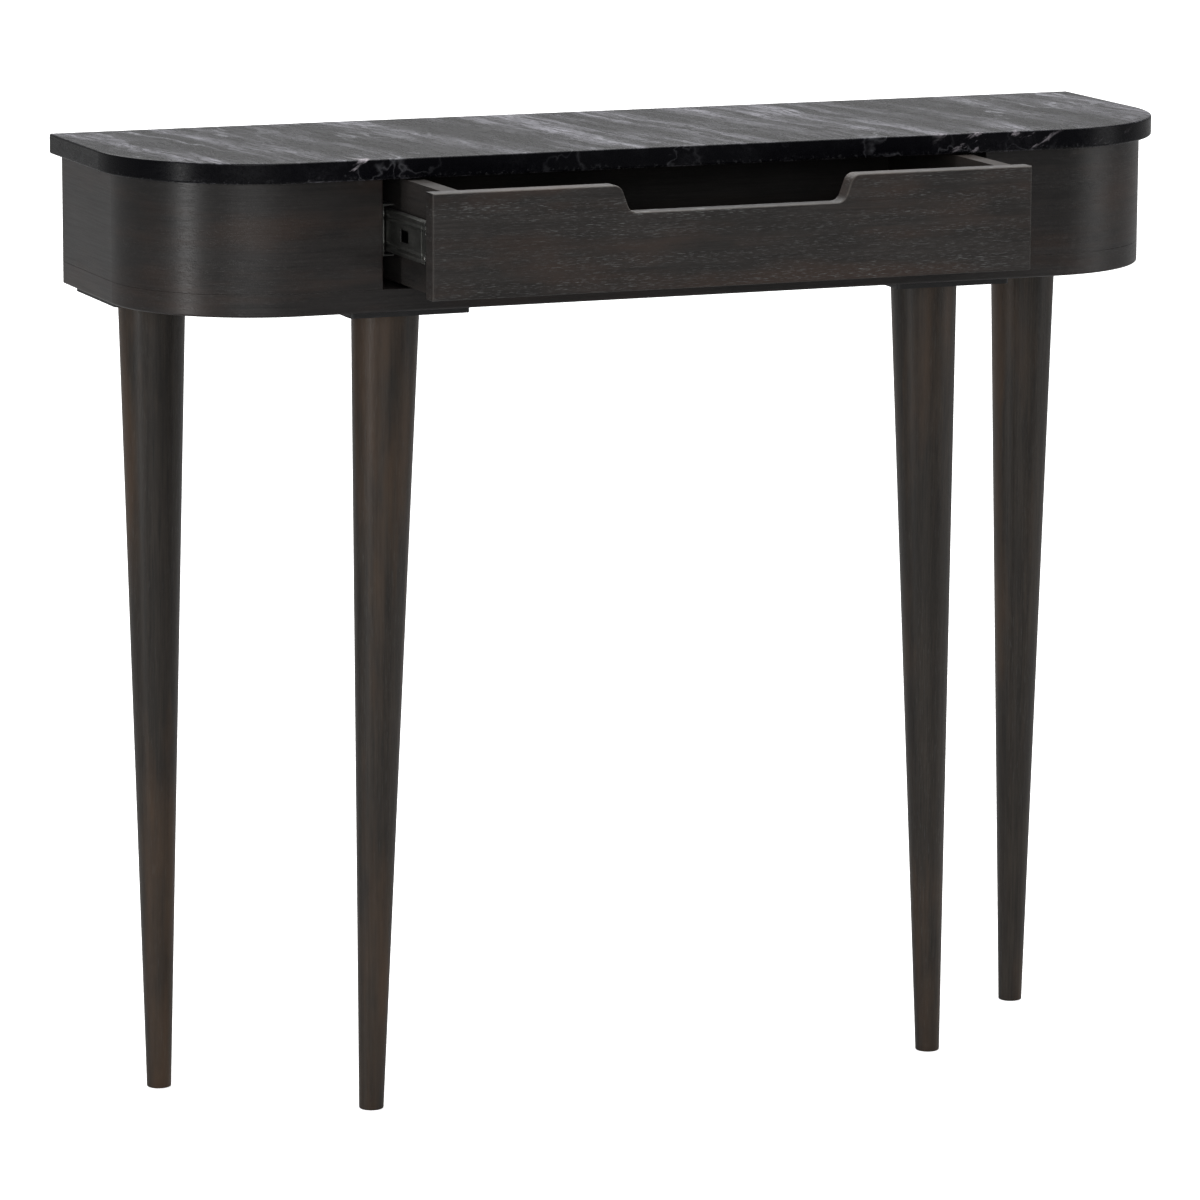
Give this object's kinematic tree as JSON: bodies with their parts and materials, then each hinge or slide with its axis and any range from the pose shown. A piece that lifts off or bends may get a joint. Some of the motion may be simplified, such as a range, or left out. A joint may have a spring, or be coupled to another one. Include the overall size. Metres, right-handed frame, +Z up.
{
  "type": "console table",
  "caption": "Shallow console table with a marble slab, round front corners, a drawer with a finger notch on telescopic slides, and tapered legs.",
  "frame": {"origin": "on the floor, at the middle of the footprint with the drawer open as stored", "axes": "+X along the table to its right end, -Y the front that the drawer opens towards, +Z up"},
  "size_m": [1, 0.3734, 0.86],
  "materials": {
    "marble": "polished black marble with grey veins",
    "silicone": "clear silicone",
    "case_wood": "charcoal-brown stained wood, satin",
    "drawer_wood": "charcoal stained wood with open pale pores",
    "drawer_box_wood": "charcoal stained wood, matt",
    "plain_wood": "unfinished beech",
    "leg_wood": "dark brown stained wood, satin",
    "plate_steel": "black powder coat",
    "slide_steel": "dark zinc plate",
    "ball_steel": "polished",
    "black_plastic": "moulded",
    "screw_steel": "zinc plate",
    "insert_brass": "turned"
  },
  "bodies": {
    "case": {"marble_top": "marble", "silicone_pads": "silicone", "left_end_shell": "case_wood", "right_end_shell": "case_wood", "bottom_panel": "case_wood", "back_panel": "case_wood", "left_divider": "case_wood", "right_divider": "case_wood", "bottom_screws": "screw_steel", "cabinet_channel_screws": "screw_steel", "hanger_bolts": "screw_steel", "threaded_inserts": "insert_brass", "plate_screws": "screw_steel", "left_cabinet_channel": "slide_steel", "right_cabinet_channel": "slide_steel", "left_cabinet_bumper": "black_plastic", "right_cabinet_bumper": "black_plastic", "front_left_leg": "leg_wood", "front_right_leg": "leg_wood", "back_left_leg": "leg_wood", "back_right_leg": "leg_wood", "front_left_leg_plate": "plate_steel", "front_right_leg_plate": "plate_steel", "back_left_leg_plate": "plate_steel", "back_right_leg_plate": "plate_steel"},
    "slide_middle": {"left_middle_channel": "slide_steel", "left_middle_end_stop": "black_plastic", "right_middle_channel": "slide_steel", "right_middle_end_stop": "black_plastic"},
    "drawer": {"drawer_front": "drawer_wood", "drawer_left_side": "drawer_box_wood", "drawer_right_side": "drawer_box_wood", "drawer_back": "drawer_box_wood", "drawer_floor": "drawer_box_wood", "drawer_dowels": "plain_wood", "drawer_rear_screws": "screw_steel", "left_drawer_channel": "slide_steel", "right_drawer_channel": "slide_steel", "drawer_channel_screws": "screw_steel", "lever_pins": "screw_steel"},
    "outer_cages": {"left_outer_cage": "slide_steel", "left_outer_balls": "ball_steel", "right_outer_cage": "slide_steel", "right_outer_balls": "ball_steel"},
    "inner_cages": {"left_inner_cage": "slide_steel", "left_inner_balls": "ball_steel", "right_inner_cage": "slide_steel", "right_inner_balls": "ball_steel"},
    "left_lever": {"left_release_lever": "black_plastic"},
    "right_lever": {"right_release_lever": "black_plastic"}
  },
  "joints": [
    {"name": "middle_slide", "type": "slide", "parent": "case", "child": "slide_middle", "axis": [0, -1, 0], "range_m": [-0.1045, 0.008]},
    {"name": "drawer_slide", "type": "slide", "parent": "slide_middle", "child": "drawer", "axis": [0, -1, 0], "range_m": [0, 0.1125]},
    {"name": "outer_cage_slide", "type": "slide", "parent": "case", "child": "outer_cages", "axis": [0, -1, 0], "range_m": [-0.0523, 0.004]},
    {"name": "inner_cage_slide", "type": "slide", "parent": "slide_middle", "child": "inner_cages", "axis": [0, -1, 0], "range_m": [0, 0.0563]},
    {"name": "left_lever_turn", "type": "hinge", "parent": "drawer", "child": "left_lever", "pos_m": [-0.2717, -0.021, 0.79475], "axis": [1, 0, 0], "range_deg": [-5, 5], "stiffness_Nm_per_rad": 0.02},
    {"name": "right_lever_turn", "type": "hinge", "parent": "drawer", "child": "right_lever", "pos_m": [0.2717, -0.021, 0.79475], "axis": [1, 0, 0], "range_deg": [-5, 5], "stiffness_Nm_per_rad": 0.02}
  ],
  "couplings": [
    {"joint": "outer_cage_slide", "follows": "middle_slide", "ratio": 0.5},
    {"joint": "inner_cage_slide", "follows": "drawer_slide", "ratio": 0.5}
  ]
}
